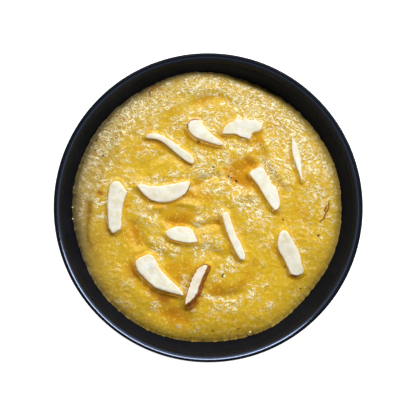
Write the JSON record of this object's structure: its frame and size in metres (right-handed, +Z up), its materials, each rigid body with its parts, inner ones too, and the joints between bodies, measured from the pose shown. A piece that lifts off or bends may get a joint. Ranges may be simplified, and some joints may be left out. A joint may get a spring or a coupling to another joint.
{
  "type": "badam halwa in its serving bowl",
  "caption": "Round footed serving bowl filled with thick, folded golden almond halwa and topped with cut almond slices.",
  "frame": {"origin": "middle of the bowl's foot, on the surface that it stands on", "axes": "+Z up through the middle of the bowl; +Y towards the window side, away from the eater"},
  "size_m": [0.126, 0.126, 0.05],
  "materials": {
    "bowl_glaze": "satin",
    "halwa": null,
    "almond": null
  },
  "bodies": {
    "root": {"bowl": "bowl_glaze", "halwa": "halwa", "almond_slice_01": "almond", "almond_slice_02": "almond", "almond_slice_03": "almond", "almond_slice_04": "almond", "almond_slice_05": "almond", "almond_slice_06": "almond", "almond_slice_07": "almond", "almond_slice_08": "almond", "almond_slice_09": "almond", "almond_slice_10": "almond", "almond_slice_11": "almond", "almond_slice_12": "almond"}
  },
  "joints": []
}
